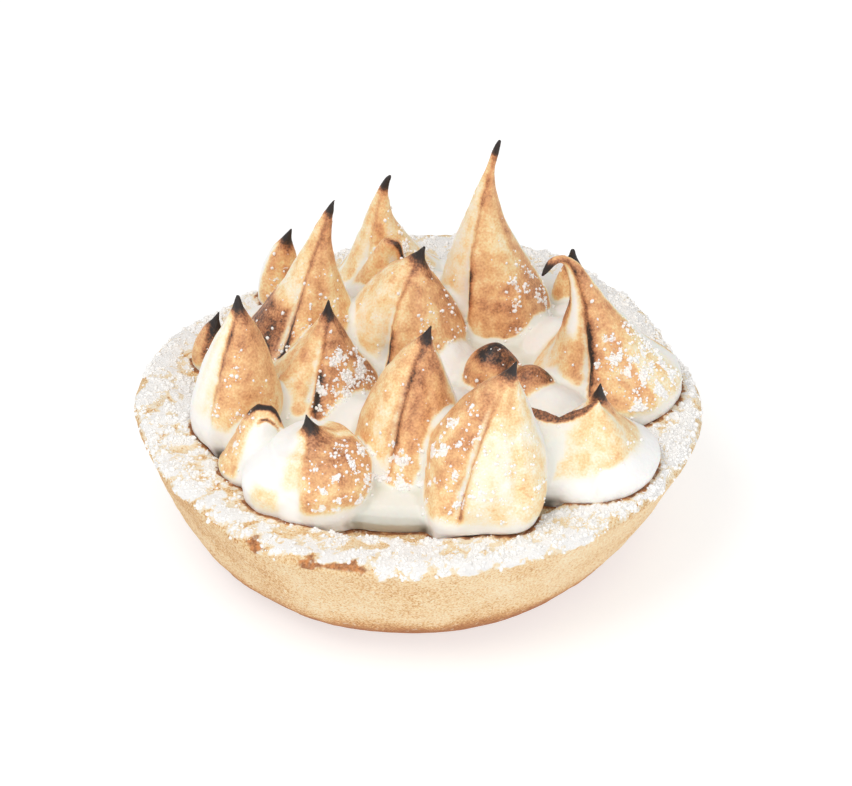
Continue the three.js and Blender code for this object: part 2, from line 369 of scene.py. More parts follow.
# %% Sizes of the case
RIM_RADIUS = 50 * MM
RIM_ROUND = 1.6 * MM  # how far the rim's outer edge is rounded over
BASE_RADIUS = 32.5 * MM
WALL_SETTLES = 8 * MM  # how far below the base the wall would become truly round
BASE_LEAN = 1.4 * MM  # how far to the left of the rim the base sits
FILLING_INSET = 11 * MM
FILLING_DROP = 2.7 * MM
BASE_RADII = (3, 15, 28)  # millimetres, as the next two
SHELF_RADII = (37.8, 37.1, 36.4, 35.7, 35, 34, 30, 15, 3)  # close together near the meringue's foot
WALL_BENDS = ((35.6, 0.9), (38.8, 3.6), (42, 8), (44.6, 12.8), (47, 18), (49.1, 22.8))
# How far the rim is out of round, in millimetres, every 20 degrees from +X towards the back
RIM_WANDER = (0.1, -2.3, -1.4, 0.4, 0.8, -1, -4.6, -5.3, -1.2, 0.3, 0, 0, 1.7, 0.7, 0.2, 0, -0.5, 0)


def rim_wander(angle):
    """How far the rim is out of round, on a smooth closed curve through RIM_WANDER."""
    place = (np.asarray(angle) / TURN % 1) * len(RIM_WANDER)
    step = np.floor(place).astype(int)
    before, here, after, beyond = (np.take(RIM_WANDER, step + k, mode="wrap") for k in (-1, 0, 1, 2))
    return MM * smooth_between(before, here, after, beyond, place - step)


# %% Throwing a bowl
def smooth_profile(corners, spacing):
    """Points about spacing apart on a smooth curve through the corners."""
    corners = np.array(corners)
    ends = np.vstack([2 * corners[0] - corners[1], corners, 2 * corners[-1] - corners[-2]])
    points = [corners[0]]
    for a, b, c, d in zip(ends, ends[1:], ends[2:], ends[3:]):
        steps = max(1, round(float(np.linalg.norm(c - b)) / spacing))
        points += [smooth_between(a, b, c, d, step / steps) for step in range(1, steps + 1)]
    return points


def put_in_order(piece):
    """Edges and faces sorted by their points, as extruding leaves them in another order on each run."""
    shell = bmesh.new()
    shell.from_mesh(piece.data)
    count = len(shell.verts)

    def by_points(part):
        numbers = [point.index for point in part.verts]
        return min(numbers) * count + max(numbers)

    shell.edges.sort(key=by_points)
    shell.faces.sort(key=by_points)
    shell.to_mesh(piece.data)
    shell.free()


def thrown(name, rings, sides):
    """A closed body of round rings, each a radius and a height."""
    radius, height = rings[0]
    select_none()
    bpy.ops.mesh.primitive_circle_add(vertices=sides, radius=radius, fill_type="NGON",
                                      location=(0, 0, height))
    piece = bpy.context.object
    piece.name = piece.data.name = name
    bpy.ops.object.transform_apply()
    bpy.ops.object.mode_set(mode="EDIT")
    for next_radius, next_height in rings[1:]:
        bpy.ops.mesh.extrude_region_move(TRANSFORM_OT_translate={"value": (0, 0, next_height - height)})
        grow = next_radius / radius
        bpy.ops.transform.resize(value=(grow, grow, 1), center_override=(0, 0, next_height))
        radius, height = next_radius, next_height
    bpy.ops.mesh.select_all(action="SELECT")
    bpy.ops.mesh.normals_make_consistent(inside=False)
    bpy.ops.object.mode_set(mode="OBJECT")
    put_in_order(piece)
    return piece


def push_out_of_round(piece):
    places = places_of(piece)
    reach = np.hypot(places[:, 0], places[:, 1])
    share = ease(places[:, 2], -WALL_SETTLES, RIM_TOP) * ease(reach, 0, BASE_RADIUS)
    wander = share * rim_wander(np.arctan2(places[:, 1], places[:, 0]))
    places[:, :2] *= (1 + wander / np.maximum(reach, MM))[:, None]
    places[:, 0] -= BASE_LEAN * np.clip(1 - (places[:, 2] / RIM_TOP) ** 2, 0, 1)
    move_to(piece, places)


def case_rings(clearance, spacing):
    """The case from the edge of its base, up the wall, over the rim and across the top of the filling."""
    wall = [(BASE_RADIUS, 0)] + [(radius * MM, height * MM) for radius, height in WALL_BENDS]
    top = RIM_TOP + clearance
    filling = RIM_TOP - FILLING_DROP + clearance
    edge = RIM_RADIUS - FILLING_INSET - clearance
    rim = [
        (RIM_RADIUS - 0.1 * MM, top - RIM_ROUND),
        (RIM_RADIUS - 0.6 * MM, top - 0.45 * RIM_ROUND),
        (RIM_RADIUS - RIM_ROUND, top - 0.1 * MM),
        (RIM_RADIUS - 4 * MM, top),
        (RIM_RADIUS - 7 * MM, top - 0.3 * MM),
        (edge + 0.9 * MM, top - 0.9 * MM),
        (edge, filling + 0.5 * MM),
        (edge - 0.5 * MM, filling),
    ]
    shelf = [(radius * MM, filling) for radius in SHELF_RADII]
    return smooth_profile(wall + rim, spacing) + shelf


# %% The case
CASE_SIDES = 440
CASE_STEP = 0.72 * MM

base_rings = [(radius * MM, 0) for radius in BASE_RADII]
pastry_case = thrown("pastry_case", base_rings + case_rings(0, CASE_STEP), CASE_SIDES)
push_out_of_round(pastry_case)
counted(pastry_case)


# %% [markdown]
# Short pastry is never smooth.  The wall gets broad dents from the fingers and a fine crumb.  The rim
# carries a crust of icing sugar, so it is lumpier, and the sugar breaks off raggedly just over the edge.
# At one side, juice ran over the rim and baked to caramel, and the rim sags a little there.  Where the
# sugar and the caramel lie is kept as a number on each point, for the finish and for the loose sugar
# later.

# %% Where the sugar and the caramel lie
SUGAR_EDGE = 1.2 * MM  # how far below the rim's top the sugar reaches, on average
SUGAR_RAGGED = 2.2 * MM
SUGAR_LOWEST = 15 * MM  # none lies under the base
LUMPS_END, DUST_ENDS = 11.4 * MM, 15 * MM  # how far in from the rim's edge
LIP_FROM, LIP_TO = math.radians(-130), math.radians(-97)
LIP_BELOW = 0.6 * MM
LIP_THIN = 0.24 * MM
# The drops of the lip: each is at an angle, spreads (both in degrees) and is that many millimetres thicker.
LIP_DROPS = ((-124.4, 1.9, 0.9), (-112.3, 2.8, 0.55), (-103.3, 3.6, 0.6))


def round_the_rim(places):
    """The angle of each place, and how far in it lies from the rim's edge."""
    angle = np.arctan2(places[:, 1], places[:, 0])
    return angle, RIM_RADIUS + rim_wander(angle) - np.hypot(places[:, 0], places[:, 1])


def along_lip(angle, soft):
    """1 along the stretch of rim that the juice ran over, fading to 0 over soft radians at its ends."""
    return ease(angle, LIP_FROM, LIP_FROM + soft) * ease(angle, LIP_TO, LIP_TO - soft)


def sugar_share(places, inner_edge):
    angle, inset = round_the_rim(places)
    below = RIM_TOP - places[:, 2] + LIP_BELOW * along_lip(angle, 0.05)
    below += SUGAR_RAGGED * cloud(places, 3.2 * MM)
    over_edge = ease(below, SUGAR_EDGE + 0.5 * MM, SUGAR_EDGE - 0.5 * MM)
    inner = ease(inset + 1.2 * MM * cloud(places, 2.5 * MM, seed=7), inner_edge, inner_edge - 1.2 * MM)
    return over_edge * inner * ease(places[:, 2], SUGAR_LOWEST, SUGAR_LOWEST + 1 * MM)


def caramel_share(places):
    angle, inset = round_the_rim(places)
    wide = LIP_THIN + sum(more * MM * np.exp(-((np.degrees(angle) - where) / spread) ** 2)
                          for where, spread, more in LIP_DROPS)
    below = RIM_TOP - places[:, 2] - 1.5 * LIP_BELOW + 0.5 * MM * cloud(places, 2.2 * MM, seed=4)
    run = ease(np.abs(below), wide, wide - 0.3 * MM)
    return run * along_lip(angle, 0.1) * ease(inset, 3 * MM, 2 * MM)


smooth_places = places_of(pastry_case)
caramel = caramel_share(smooth_places)
lumpy = sugar_share(smooth_places, LUMPS_END) * (1 - caramel)
sugared = sugar_share(smooth_places, DUST_ENDS) * (1 - caramel)
print("points under sugar:", int((sugared > 0.5).sum()), "and caramel:", int((caramel > 0.5).sum()))


# %% [markdown]
# The wall is darker towards its foot, and a little darker on the left.
# The lumps are kept off the underside, so that it stays flat.

# %% Darkening and roughening the case
DARKER_FOOT = 11 * MM  # how far up the wall the darker band fades out
LEFT_DARKER = 0.16

above_base = ease(smooth_places[:, 2], 0.5 * MM, 4 * MM)
more_baked = 1 - ease(smooth_places[:, 2], 0.5 * MM, DARKER_FOOT)
left_darker = LEFT_DARKER * ease(smooth_places[:, 0], -12 * MM, -36 * MM)
keep_on_points(pastry_case, "more_baked", np.maximum(more_baked, 0.85 * more_baked + left_darker))
as_group(pastry_case, "lumpy", lumpy)
as_group(pastry_case, "above_base", above_base)
lumps(pastry_case, 14 * MM, 1.1 * MM, "above_base")
lumps(pastry_case, 2.2 * MM, 0.3 * MM, "above_base")
lumps(pastry_case, 2.4 * MM, 1.3 * MM, "lumpy")
pastry_case.vertex_groups.clear()


# %% [markdown]
# ## Meringue
#
# Meringue is spooned on and each spoonful is pulled up until it breaks off in a point.  It could be
# sculpted, or piped as a curve with a taper, but a spoonful also has folds that run up it, where it
# overlapped itself.  So one blank tube is modelled, copied for each spoonful, and each copy is pulled
# to its own shape: a foot, a neck and a tip on a smooth spine, a girth that thins towards the tip, and
# folds that rise gently on one side and steeply on the other.

# %% Sizes of the spoonfuls, in millimetres
PEAK_FOOT = 24.7
PEAK_SUNK = 4
TIP_RADIUS = 0.45
FOOT_FLARE, FOOT_TUCK = 0.36, 0.12  # how much a foot is wider mid-pie, and narrower near the pastry
FLARE_ENDS = (20, 30)  # where the one turns into the other, from the middle of the pie
TENT_SHOULDER, ROUND_SHOULDER = 0.4, 0.7  # height of the shoulder, in girths
SHOULDER_HIGHEST = 0.45  # share of the spine
STEM_SHARE = 0.7  # the rest of a girth thins evenly
TURNED_BY = 0.35  # share of the spine over which the rings, level at the foot, turn to follow it
SPIKE_LONG, SPIKE_THIN = 6, 0.16
SPIKE_OPENS, SPIKE_SWELLS = 0.3, 0.022  # with the length that is left, and with its cube
FOLD_GENTLE, FOLD_STEEP = 0.6, 0.07  # radians that a fold takes to rise again, left and right of it
FOLDS_START, FOLDS_STOP = (0.02, 0.3), (0.8, 1)  # shares of the spine
DEEP_FOLD = (0.14, 0.2)  # depths from which a fold has a groove and a line
GROOVE_DEEP, GROOVE_WIDE = 0.5, 0.9

# %% Strengths of the browning, and of the painted shade along the folds
FOLD_LINE, FOLD_STREAK = (0.5, 0.45), (0.85, 0.85)  # width, and how far to the right of the fold
FOLD_LINE_BROWN_AND_SHADE, STREAK_BROWN_AND_SHADE = 0.38, 0.88
SOFT_SIDE, SOFT_END = 8, 0.06  # degrees, and share of the spine, over which a patch fades out
BLOTCH_SIZE, BLOTCH_TINT = 0.55, 0.12
UPPER_TINT, TIP_TINT = 0.1, 0.25
TIP_TOASTED, TIP_BURNT = (5, 1.5), (5.4, 0.6)  # millimetres left to the tip, where each starts and is full
ALL_ALONG = (-1, 2)
BACK_LOBE = (90, 75, 0.5)


# %% [markdown]
# A spoonful's place is its foot on the bed, and lift raises it.  Its girth is a radius, and its neck and
# tip are measured from the foot.  It thins slowly at first, the more so the larger thin is, or like a
# tent by the power tent.  A fold has an angle and a depth, an oval is stretched by a factor along an
# angle, a square foot is drawn out at four corners, blunt thickens the tip, and a ridge that sags is a
# saddle.  Angles are in degrees, from +X towards the back.
#
# A flame browns what stands out.  Low is how far up the browning starts, and pale how much fainter it is
# low down.  The lobes are browned patches, and those in bare, dusting and scorch are white, sugared and
# black: each faces an angle, spreads, has a strength, and may start and end along the spine, which is 0
# at the foot and 1 at the tip.  Char is how burnt the tip is, edge browns all that is less than
# edge_deep from it, and a streak beside the first fold has a start and an end.

# %% What most spoonfuls have
USUAL = dict(
    lift=0, thin=1, tent=0, folds=(), oval=(1, 0), square=0, blunt=0, ridge=0, sag=0,
    low=2, pale=0, lobes=(), bare=(), dusting=(), char=1, edge=0, edge_deep=4, scorch=(), streak=(),
)

# %% Spoonfuls in front
SPOONFULS = {
    "front_left": dict(
        at=(-18, -28.3), girth=9.6, oval=(1.06, 0), square=0.05, neck=(-0.4, 0, 12.5), tip=(-1.8, 0.3, 18.6),
        thin=0.9, folds=((-110, 0.17), (80, 0.16)), low=0.2, pale=0.1,
        lobes=((-48, 58, 0.6), (-118, 16, 0.32, 0.4, 2)), bare=((130, 70, 1, -1, 0.85),),
        dusting=((-45, 50, 1),)),
    "front_left_low": dict(
        at=(-24.2, -28.3), girth=7.2, neck=(0.4, 0, 8), tip=(0.8, 0, 11.6), thin=0.9, low=0.2,
        lobes=((-118, 24, 0.32, -1, 0.6),), bare=((90, 90, 1),), char=0),
    "front_left_curl": dict(
        at=(-28.9, -20.4), girth=6.4, neck=(0.6, 0.2, 20), tip=(5.8, -0.4, 6.4), tent=1.5,
        folds=((-52, 0.16),), low=0.1, lobes=((-150, 26, 0.5), (160, 60, 0.5)), char=0.8,
        scorch=((178, 24, 0.85, 0.56, 0.78), (-106, 12, 0.8, 0.58, 2)), dusting=((-160, 30, 0.6),)),
    "front_centre": dict(
        at=(-2.2, -20.6), girth=9.9, neck=(1.2, 2.6, 23), tip=(4.2, 2.6, 30.4), thin=1.4,
        folds=((-114, 0.2), (-60, 0.09), (95, 0.2)), low=0.05, streak=(0.3, 0.42),
        lobes=((-72, 60, 0.48), (-72, 52, 0.62, 0.34, 2), (-150, 46, 0.46)),
        dusting=((-85, 55, 1, -1, 0.36),)),
    "front_right": dict(
        at=(10.6, -30), girth=11.4, oval=(1.04, 30), square=0.1, neck=(2, 0, 21), tip=(6.1, 0, 31.4),
        thin=1.4, folds=((-116, 0.34), (-60, 0.1), (70, 0.2)), low=0.1, pale=0.1, streak=(0.1, 0.28),
        lobes=((-158, 48, 0.58), (-65, 58, 0.28), (-46, 26, 0.42, 0.12, 0.6), (-86, 24, 0.38, -1, 0.3),
               (-80, 30, 0.4, 0.6, 2)),
        dusting=((-150, 40, 0.9), (-70, 50, 0.3))),
    "saddle": dict(
        at=(23.7, -23.3), girth=6.5, ridge=7, sag=4.4, neck=(0, 0, 10), tip=(0, 0, 13.6), thin=1.7,
        low=0.4, lobes=((-50, 60, 0.36),), char=0, scorch=((0, 180, 4, 1.03, 2),)),
    "right_front": dict(
        at=(30.6, -20.5), girth=11, oval=(1.1, 30), neck=(-0.2, 0, 12), tip=(0.9, 0, 19.6), tent=1.4,
        folds=((-92, 0.2), (110, 0.16)), low=0.4,
        lobes=((-110, 55, 0.44), (-35, 55, 0.45), (-44, 42, 0.58, 0.62, 2), (-114, 30, 0.54, 0.5, 2)),
        dusting=((-40, 50, 0.25),)),
}

# %% Spoonfuls on the left
SPOONFULS |= {
    "left": dict(
        at=(-32.5, -8.3), girth=8.3, neck=(0.9, 0, 19), tip=(0.7, 0, 29.6), thin=1.3,
        folds=((-130, 0.2), (60, 0.2)), low=0.2, pale=0.15, lobes=((-55, 80, 0.54), (-150, 22, 0.2)),
        dusting=((-100, 30, 0.4),)),
    "far_left": dict(
        at=(-37, 10.5), girth=3.4, neck=(-0.5, 0, 8), tip=(1.4, 0, 12.4), thin=1.6,
        folds=((-100, 0.15),), low=0.15, lobes=((-90, 120, 0.56), (-70, 60, 0.9, 0.3, 2))),
    "mid_left": dict(
        at=(-17.8, -1.8), girth=10.8, oval=(1.16, 38), neck=(1.2, 3.8, 14), tip=(1.7, 4.2, 20.9), tent=1.35,
        folds=((-102, 0.3), (-160, 0.12)), low=0.06, streak=(0.2, 0.45),
        lobes=((-42, 58, 0.66), (-142, 48, 0.48)), dusting=((-48, 50, 1),)),
    "left_tall": dict(
        at=(-20.3, 12.8), girth=11.9, oval=(1.08, 60), neck=(1.6, 2, 25), tip=(5.2, 2, 33.7), tent=1.75,
        blunt=0.45, folds=((-120, 0.28), (-66, 0.1), (75, 0.2)), low=0.05, streak=(0.1, 0.28),
        lobes=((-60, 66, 0.54), (-158, 50, 0.86, -1, 0.4), (-155, 36, 0.36, 0.34, 2)),
        dusting=((-80, 50, 0.25),)),
    "back_left_small": dict(
        at=(-25, 29.5), girth=4.1, neck=(-0.4, 0, 11), tip=(2, 0, 16.8), thin=1.5, blunt=0.3,
        folds=((-75, 0.16),), low=0.14, lobes=((-60, 100, 0.5), (-40, 34, 0.74, -1, 0.4), (-75, 8, 0.8)),
        dusting=((-100, 50, 0.6, 0.2, 0.6),)),
}

# %% Spoonfuls at the back
SPOONFULS |= {
    "back_left": dict(
        at=(-4.8, 32.2), girth=10.2, neck=(-4, 0.4, 20.5), tip=(-0.5, 0.4, 26.2), tent=1.6,
        folds=((-126, 0.26), (-80, 0.14), (70, 0.2)), low=0.14,
        lobes=((-90, 95, 0.38), (-92, 20, 0.6, 0.15, 0.75)), dusting=((-70, 60, 0.9),)),
    "hook": dict(
        at=(-8.2, 25.6), girth=6.4, neck=(2.4, 0, 24.8), tip=(5.6, -0.8, 10.6), tent=1.5,
        folds=((-100, 0.15),), low=0.22, lobes=((-90, 180, 0.48), (-98, 8, 0.8, 0.2, 0.45)),
        bare=((-15, 48, 1, 0.32, 0.62),), char=0.7, scorch=((180, 32, 0.75, 0.7, 2),)),
    "behind_tallest": dict(
        at=(12, 32.2), girth=6, neck=(0, 0, 7), tip=(0, 0, 11), thin=1.5,
        folds=((85, 0.15),), low=0.3, lobes=((90, 90, 0.4),)),
    "right_back": dict(
        at=(27.8, 27), girth=3.9, neck=(-0.5, 0, 8), tip=(-0.5, 0, 13.9), thin=1.6,
        low=0.3, lobes=((-90, 180, 0.5),)),
}

# %% Spoonfuls in the middle and on the right
SPOONFULS |= {
    "centre": dict(
        at=(-2.8, 11.2), girth=10.8, neck=(0.3, 2.4, 18), tip=(3.6, 2.4, 24.3), thin=1.5,
        folds=((-112, 0.3), (-80, 0.12), (95, 0.16)), low=0.06, streak=(0.15, 0.45),
        lobes=((-45, 74, 0.5), (-18, 34, 0.64), (-150, 46, 0.34)), dusting=((-40, 40, 0.2),)),
    "tallest": dict(
        at=(14.4, 21), girth=10, neck=(-5, 0.9, 27.4), tip=(-0.3, 0.9, 41.5), thin=3,
        folds=((-124, 0.28), (-86, 0.12), (60, 0.2)), low=0.06, streak=(0.25, 0.44),
        lobes=((-62, 62, 0.46), (-52, 54, 0.64, -1, 0.4), (-20, 20, 0.6), (-150, 36, 0.3)),
        dusting=((-35, 35, 0.6, 0.1, 0.42),)),
    "burnt_left": dict(
        at=(12.9, -0.5), lift=4, girth=4.9, neck=(0, 0, 6), tip=(0.8, 0, 9), thin=0.8,
        low=0.1, lobes=((90, 180, 0.64), (-30, 60, 0.82, 0.25, 2)), char=0, edge=0.95, edge_deep=5),
    "burnt_right": dict(
        at=(19.4, -4.6), lift=4, girth=4.3, neck=(0, 0, 5), tip=(0.2, 0, 7.2), thin=0.8,
        low=0.1, lobes=((90, 180, 0.62), (0, 50, 0.88)), char=0, edge=0.8, dusting=((-50, 60, 0.7),)),
    "right_curl": dict(
        at=(33.6, 2.6), girth=12.6, oval=(1.1, -10), neck=(-6.4, 0.9, 38), tip=(-12.1, -0.9, 26.6),
        tent=2.1, blunt=0.4, folds=((-108, 0.32), (-58, 0.1), (50, 0.2)), low=0.1, pale=0.1,
        streak=(0.16, 0.5),
        lobes=((175, 30, 0.5), (-130, 30, 0.62), (-75, 32, 0.64), (-40, 34, 0.42), (178, 38, 0.84, 0.42, 2),
               (-46, 40, 0.6, 0.34, 2)),
        bare=((-144, 17, 1, 0.42, 0.85),), dusting=((-52, 46, 1, -1, 0.42),)),
}

# %% Low swells of the meringue between the spoonfuls: place, girth and height
SWELLS = (
    (-28, 20.5, 4.5, 8), (-26, -5, 5.5, 8.5), (-30, 4, 5, 8.5), (-10, -11.5, 7.5, 11), (6.5, -8, 5.5, 11),
    (4.5, 5.5, 6.5, 12), (23, -9, 7, 12), (24.5, 12, 7, 11.5), (-11, 21.5, 6, 11.5), (3.5, 25, 6.5, 12),
    (28, 19, 6, 9.5), (-18.5, 26, 5.5, 9.5), (4.5, 32.5, 6, 8.5), (20.5, 30.5, 5.7, 7.5),
)
# A swell counts half as low lying, so it takes half of the bed's painted grey shade.
SWELL_LIES_LOW = 0.5


# %% The blank: one tube of rings, one unit apart
BLANK_SIDES = 128
BLANK_LEVELS = 34

blank = thrown("blank", [(1, level) for level in range(BLANK_LEVELS + 2)], BLANK_SIDES)
blank_places = places_of(blank)
blank_angles = np.arctan2(blank_places[:, 1], blank_places[:, 0])
blank_rings = np.round(blank_places[:, 2]).astype(int)
print("blank:", len(blank_places), "points")


# %% [markdown]
# The spine is a cubic Bezier curve.  The rings stand level at the foot and turn to follow the spine
# further up, each ring's sideways direction carried over from the last, so that the folds don't twist.

# %% The spine
SPINE_POINTS = 200
SPINE_STEP = 0.05  # millimetres between the two places that give the spine's direction


def spine_through(foot, neck, tip):
    """Points along the spine, and how far along it each of them is."""
    share = np.linspace(0, 1, SPINE_POINTS)[:, None]
    rest = 1 - share
    lift = foot + (neck - foot) * (0.5, 0.5, 0.45)
    curve = rest ** 3 * foot + 3 * rest ** 2 * share * lift + 3 * rest * share ** 2 * neck + share ** 3 * tip
    gone = np.concatenate([[0], np.cumsum(np.linalg.norm(np.diff(curve, axis=0), axis=1))])
    return curve, gone


def on_spine(spine, far):
    curve, gone = spine
    return np.array([np.interp(far, gone, curve[:, axis]) for axis in range(3)])


def ring_up(spine, along):
    """Which way a ring faces: up at the foot, and along the spine further on."""
    long = spine[1][-1]
    far = along * long
    ahead = on_spine(spine, min(far + SPINE_STEP, long))
    onward = ahead - on_spine(spine, max(min(far, long - SPINE_STEP), 0))
    up = np.array([0, 0, 1.0])
    up += (onward / np.linalg.norm(onward) - up) * min(along / TURNED_BY, 1)
    return up / np.linalg.norm(up)


# %% Girth, folds and patches
def wrapped(angle):
    return (angle + math.pi) % TURN - math.pi


def girth_left(along, shoulder, thin, flare, tent):
    """The share of its girth that a spoonful still has."""
    up = np.clip((along - shoulder) / (1 - shoulder), 0, 1)
    stem = STEM_SHARE * (1 - up) ** thin * (1 + thin * up) + (1 - STEM_SHARE) * (1 - up)
    foot = 1 + flare * np.clip(1 - along / shoulder, 0, 1) ** 2
    return np.where(along < shoulder, foot, (1 - up) ** tent if tent else stem)


def spike(radius, left):
    """A girth drawn out to a thin spike over the last few millimetres that are left of the spine."""
    if left > SPIKE_LONG:
        return radius
    thin = SPIKE_THIN + SPIKE_OPENS * left + SPIKE_SWELLS * left ** 3
    return (radius ** -3 + thin ** -3) ** (-1 / 3)


def fold_cut(folds, angle):
    """The share of the girth that the folds cut away."""
    cut = np.zeros_like(angle)
    for where, depth in folds:
        off = wrapped(angle - math.radians(where))
        cut += depth * np.exp(np.where(off > 0, -off / FOLD_STEEP, off / FOLD_GENTLE))
    return cut


def near_fold(folds, angle, radius, wide, aside=0):
    """1 along the deeper folds, or a little to the right of them, falling to 0 beside that."""
    near = np.zeros_like(angle)
    for where, depth in folds:
        off = wrapped(angle - math.radians(where)) * radius - aside
        near = np.maximum(near, ease(depth, *DEEP_FOLD) * np.exp(-(off / wide) ** 2))
    return near


def patch_share(patches, angle, along):
    """The strongest patch here: each faces an angle, spreads, has a strength, and may start and end."""
    share = np.zeros_like(angle)
    for where, spread, strength, *reach in patches:
        start, end = reach or ALL_ALONG
        off = np.abs(np.degrees(wrapped(angle - math.radians(where))))
        soft = min(SOFT_SIDE, 0.6 * spread)
        patch = strength * ease(off, spread + soft, spread - soft)
        patch = patch * ease(along, start - SOFT_END, start + SOFT_END)
        share = np.maximum(share, patch * ease(along, end + SOFT_END, end - SOFT_END))
    return share


# %% Shape and browning of one ring
def ring_reach(own, angle, along, radius):
    """How far the ring reaches at each angle: its radius, with its oval, folds and corners."""
    wide = own.oval[0] + (1 - own.oval[0]) * along
    towards = angle - math.radians(own.oval[1])
    folded = ease(along, *FOLDS_START) * (1 - ease(along, *FOLDS_STOP))
    reach = radius / np.hypot(np.cos(towards) / wide, np.sin(towards))
    reach *= 1 - folded * fold_cut(own.folds, angle)
    groove = near_fold(own.folds, angle, radius, GROOVE_WIDE)
    reach -= np.minimum(GROOVE_DEEP, 0.3 * radius) * folded * groove
    return reach * (1 - own.square * ease(along, 0.5, 0.1) * np.cos(4 * angle))


def ring_toast(own, angle, along, left, started):
    """How brown the ring is at each angle."""
    level = np.full(len(angle), along + 9 * own.at[0])
    on_blotches = np.stack([2 * np.cos(angle), 2 * np.sin(angle), level], axis=1)
    blotches = BLOTCH_TINT * cloud(on_blotches, BLOTCH_SIZE) * (own.char > 0)
    facing = patch_share((*own.lobes, BACK_LOBE), angle, along) * (1 - own.pale * ease(along, 0.6, 0.2))
    facing = facing * (1 - patch_share(own.bare, angle, along))
    toast = started * (facing + blotches)
    toast += own.char * (UPPER_TINT * ease(along, 0.5, 0.9) + TIP_TINT * ease(left, *TIP_TOASTED))
    return np.maximum(toast, own.edge * ease(left, own.edge_deep, 0.3 * own.edge_deep))


def ring_crease(own, angle, along, radius):
    """The brown line along each fold, and the dark streak beside the first: browning, darkened with painted
    shade.
    """
    line = near_fold(own.folds, angle, radius, *FOLD_LINE)
    line = FOLD_LINE_BROWN_AND_SHADE * line * ease(along, own.low, own.low + 0.12) * ease(along, 0.97, 0.75)
    if not own.streak:
        return line
    streak = near_fold(own.folds[:1], angle, radius, *FOLD_STREAK)
    return np.maximum(line, streak * patch_share(((0, 180, STREAK_BROWN_AND_SHADE, *own.streak),), angle, along))


def ring_numbers(own, angle, along, left, radius):
    """What each point of the ring keeps for the finish."""
    started = ease(along, own.low - 0.05, own.low + 0.05)
    return {
        "toast": ring_toast(own, angle, along, left, started),
        "char": np.maximum(own.char * ease(left, *TIP_BURNT), patch_share(own.scorch, angle, along)),
        "crease": ring_crease(own, angle, along, radius),
        "dust": started * patch_share(own.dusting, angle, along) * (1 - ease(along, 0.5, 0.8)),
    }


# %% Pulling one spoonful
POINT_NUMBERS = ("toast", "char", "crease", "dust", "low_lying")


def pull(name, lies_low=0, **shape):
    """One spoonful: a copy of the blank tube, each of its rings moved to its own place and shape."""
    own = SimpleNamespace(**USUAL | shape)
    foot = np.array([*own.at, PEAK_FOOT + own.lift], dtype=float)
    spine = spine_through(foot, foot + own.neck, foot + own.tip)
    long = spine[1][-1]
    shoulder = min((TENT_SHOULDER if own.tent else ROUND_SHOULDER) * own.girth / long, SHOULDER_HIGHEST)
    flare = FOOT_FLARE - (FOOT_FLARE + FOOT_TUCK) * ease(math.hypot(*own.at), *FLARE_ENDS)
    sideways = np.array([1.0, 0, 0])
    places = np.empty_like(blank_places)
    numbers = {kind: np.full(len(places), float(lies_low)) for kind in POINT_NUMBERS}
    for ring in range(BLANK_LEVELS + 2):
        here = blank_rings == ring
        angle = blank_angles[here]
        along = max(ring - 1, 0) / BLANK_LEVELS
        left = (1 - along) * long
        middle = on_spine(spine, along * long)
        if ring == 0:
            middle[2] = PEAK_FOOT - PEAK_SUNK
        up = ring_up(spine, along)
        sideways -= up * sideways.dot(up)
        sideways /= np.linalg.norm(sideways)
        radius = float(own.girth * girth_left(along, shoulder, own.thin, flare, own.tent))
        radius += (TIP_RADIUS + own.blunt) * along
        if own.char:
            radius = spike(radius, left)
        reach = ring_reach(own, angle, along, radius)
        right = reach * np.cos(angle) + own.ridge * ease(along, 0, 0.5) * np.tanh(4 * np.cos(angle))
        across = np.cross(up, sideways)
        places[here] = middle + np.outer(right, sideways) + np.outer(reach * np.sin(angle), across)
        places[here, 2] += own.sag * ease(along, 0, 1) * (right / np.abs(right).max()) ** 2
        for kind, values in ring_numbers(own, angle, along, left, radius).items():
            numbers[kind][here] = values
    piece = blank.copy()
    piece.data = blank.data.copy()
    piece.name = piece.data.name = name
    bpy.context.collection.objects.link(piece)
    move_to(piece, places * MM)
    for kind, values in numbers.items():
        keep_on_points(piece, kind, values)
    return piece


# %% Pulling them all
def swell(number, x, y, girth, height):
    """A low, white spoonful with a round top."""
    return pull(f"swell_{number}", lies_low=SWELL_LIES_LOW, at=(x, y), girth=girth, thin=0.9, char=0,
                neck=(0, 0, 0.65 * height - 2), tip=(0, 0, height - 2.5))


pulled = [pull(name, **shape) for name, shape in SPOONFULS.items()]
pulled += [swell(number, *sizes) for number, sizes in enumerate(SWELLS)]
print("spoonfuls and swells:", len(pulled))


# %% [markdown]
# The spoonfuls stand on a bed of meringue, a low round-shouldered cushion thrown like the case.  Joined
# with it and remeshed on a fine grid of cubes, they become one mass without inner walls.

# %% The bed, and fusing it all
BED_INSET = 13.4 * MM
BED_SHOULDER = 4.6 * MM
BED_CROWN = 6 * MM
BED_FOOT = RIM_TOP - FILLING_DROP
BED_SIDES = 96
FUSE_GRID = 0.31 * MM

bed_rings = [(RIM_RADIUS - BED_INSET - inset * MM, BED_FOOT + rise) for inset, rise in (
    (0.8, 0), (0, 0.5 * BED_SHOULDER), (0.6, 0.8 * BED_SHOULDER), (2.5, BED_SHOULDER),
    (8, 0.6 * BED_CROWN + 0.4 * BED_SHOULDER))]
bed_rings += [(20 * MM, BED_FOOT + 0.95 * BED_CROWN), (1 * MM, BED_FOOT + BED_CROWN)]
bed = thrown("bed", bed_rings, BED_SIDES)
push_out_of_round(bed)
for kind in POINT_NUMBERS:
    keep_on_points(bed, kind, np.full(len(bed.data.vertices), float(kind == "low_lying")))

